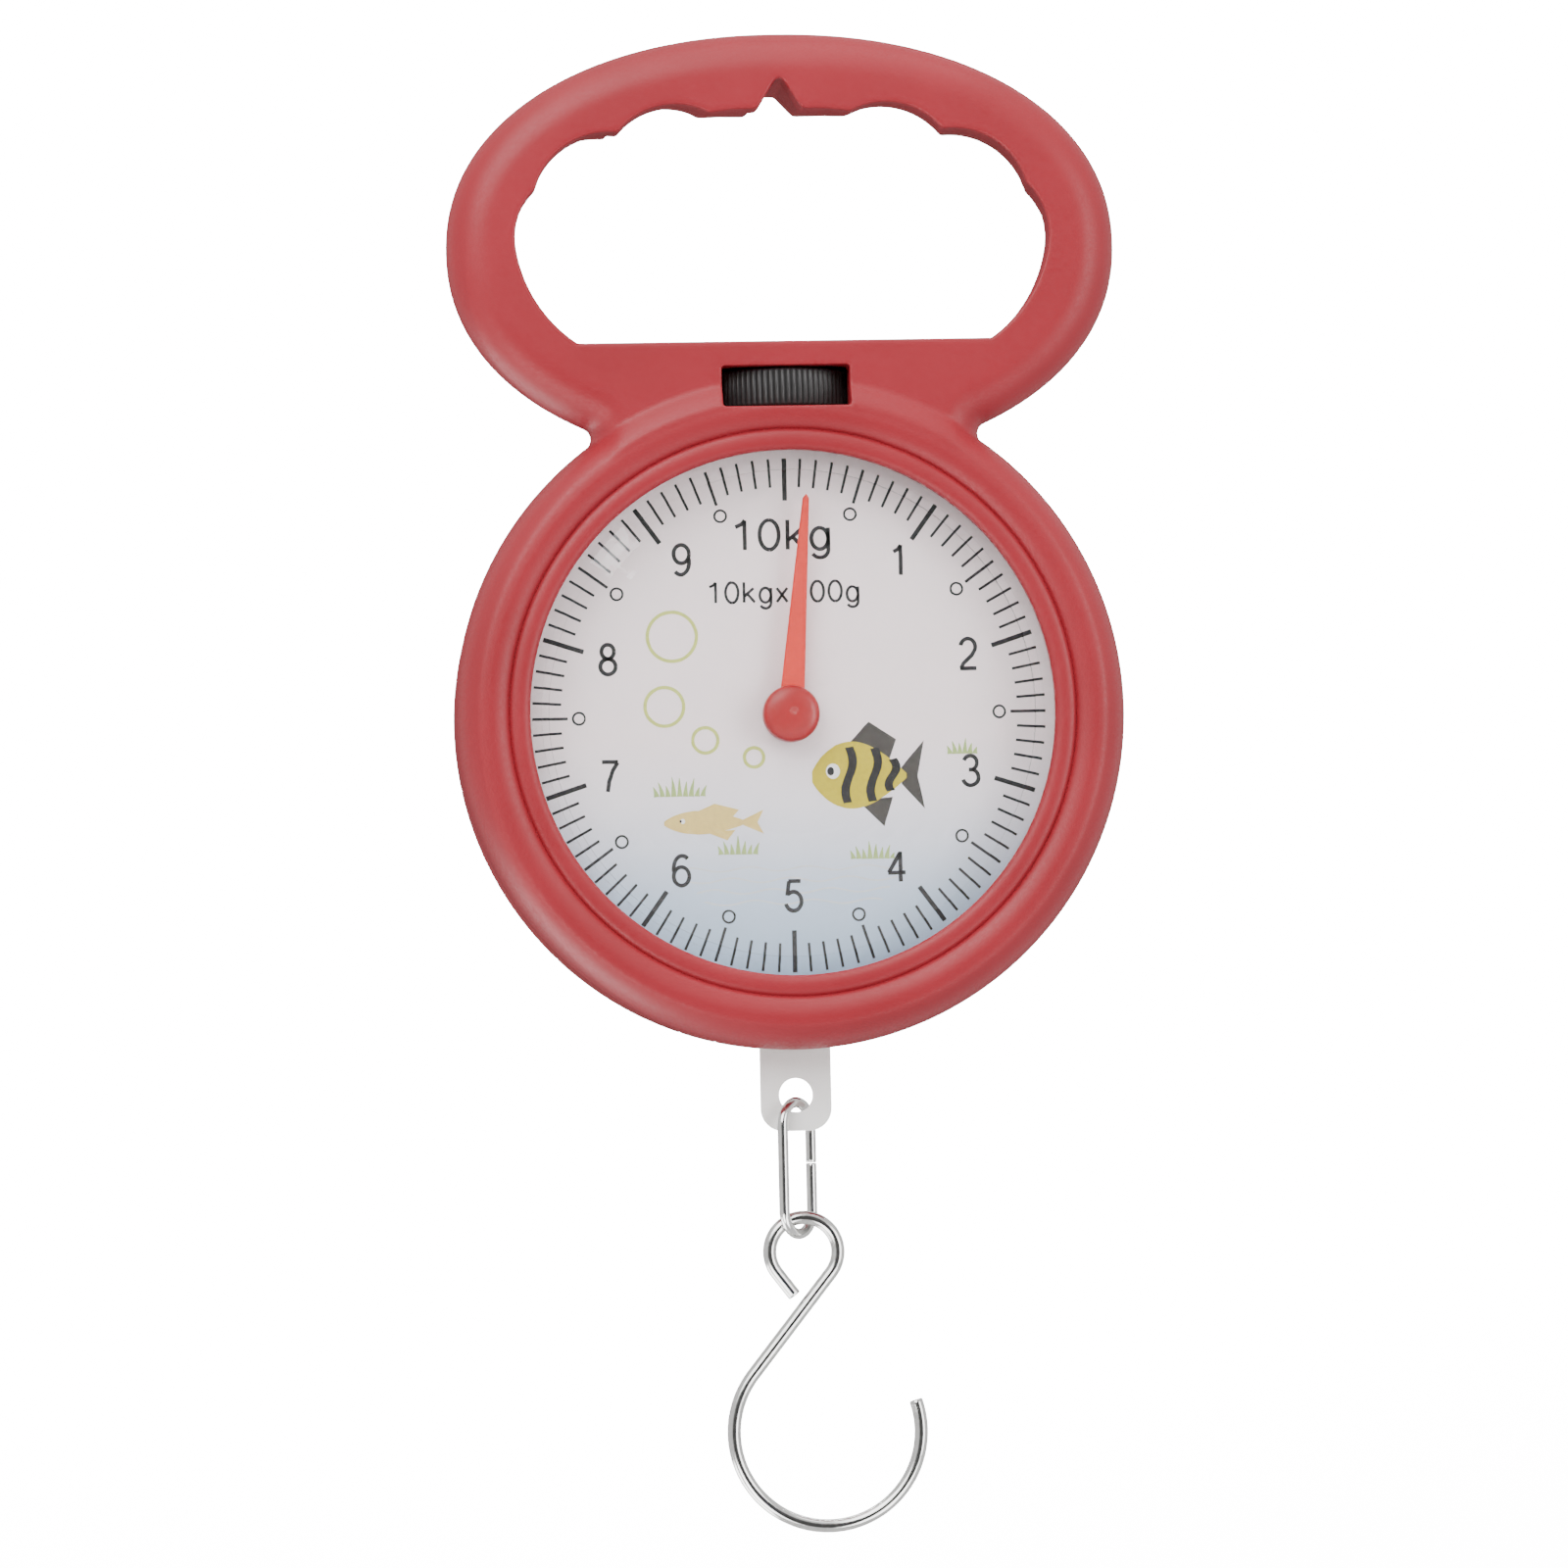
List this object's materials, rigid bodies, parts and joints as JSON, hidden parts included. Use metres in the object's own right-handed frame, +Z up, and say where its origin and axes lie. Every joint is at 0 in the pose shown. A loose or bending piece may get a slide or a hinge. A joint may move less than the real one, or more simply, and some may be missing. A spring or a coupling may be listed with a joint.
{
  "type": "hanging spring scale",
  "caption": "Hand-held hanging spring scale: oval finger-grip handle, round dial under a domed lens, thumbwheel zero adjuster, draw bar, wire link and S-hook.",
  "frame": {"origin": "top of the V-notch in the handle's grip opening, in the plane the load hangs in", "axes": "+Z up, -Y towards the reader of the dial, +X to the reader's right"},
  "size_m": [0.09, 0.025, 0.2015],
  "materials": {
    "red_plastic": "satin moulded",
    "clear_plastic": "clear",
    "card": "printed, satin",
    "plate_steel": "zinc plated",
    "screw_steel": "zinc plated",
    "brass": "turned",
    "guide_plastic": "natural nylon",
    "black_plastic": "ribbed, matt",
    "spring_steel": "drawn wire",
    "bar_steel": "bright plated",
    "pointer_red": "painted",
    "wire_steel": "bright plated wire"
  },
  "bodies": {
    "case": {"front_shell": "red_plastic", "rear_shell": "red_plastic", "lens": "clear_plastic", "dial_card": "card", "movement_plate": "plate_steel", "plate_screws": "screw_steel", "arbor_bush": "brass", "rear_bush": "brass", "bridge": "plate_steel", "bridge_rivets": "screw_steel", "tang_guide": "guide_plastic", "thrust_washer": "screw_steel", "case_screws": "screw_steel", "spring_left": "spring_steel", "spring_right": "spring_steel"},
    "adjuster_wheel": {"zero_wheel": "black_plastic"},
    "adjuster_screw": {"zero_screw": "screw_steel", "yoke": "plate_steel", "yoke_pin": "screw_steel"},
    "slider": {"draw_bar": "bar_steel", "rack": "brass", "rack_rivets": "brass", "spring_crossbar": "plate_steel", "crossbar_rivets": "screw_steel"},
    "pointer": {"arbor": "screw_steel", "pinion": "brass", "pointer": "pointer_red"},
    "link": {"link": "wire_steel"},
    "hook": {"hook": "wire_steel"}
  },
  "joints": [
    {"name": "slider_pull", "type": "slide", "parent": "case", "child": "slider", "axis": [0, 0, -1], "range_m": [0, 0.019], "stiffness_N_per_m": 5200, "deforming": ["spring_left", "spring_right"]},
    {"name": "pointer_turn", "type": "hinge", "parent": "case", "child": "pointer", "pos_m": [0, 0, -0.0853], "axis": [0, 1, 0], "range_deg": [0, 363]},
    {"name": "wheel_turn", "type": "hinge", "parent": "case", "child": "adjuster_wheel", "pos_m": [0, 0, -0.0415], "axis": [0, 0, 1], "range_deg": [-360, 360]},
    {"name": "screw_lift", "type": "slide", "parent": "case", "child": "adjuster_screw", "axis": [0, 0, 1], "range_m": [-0.0005, 0.0005]},
    {"name": "link_swing", "type": "hinge", "parent": "slider", "child": "link", "pos_m": [0, 0, -0.14045], "axis": [0.766, -0.6428, 0], "range_deg": [-60, 60]},
    {"name": "hook_swing", "type": "hinge", "parent": "link", "child": "hook", "pos_m": [0.0006, 0, -0.15735], "axis": [0, 1, 0], "range_deg": [-75, 75]}
  ],
  "couplings": [
    {"joint": "pointer_turn", "follows": "slider_pull", "rad_per_m": 333.33},
    {"joint": "screw_lift", "follows": "wheel_turn", "m_per_rad": 0.000079577}
  ]
}
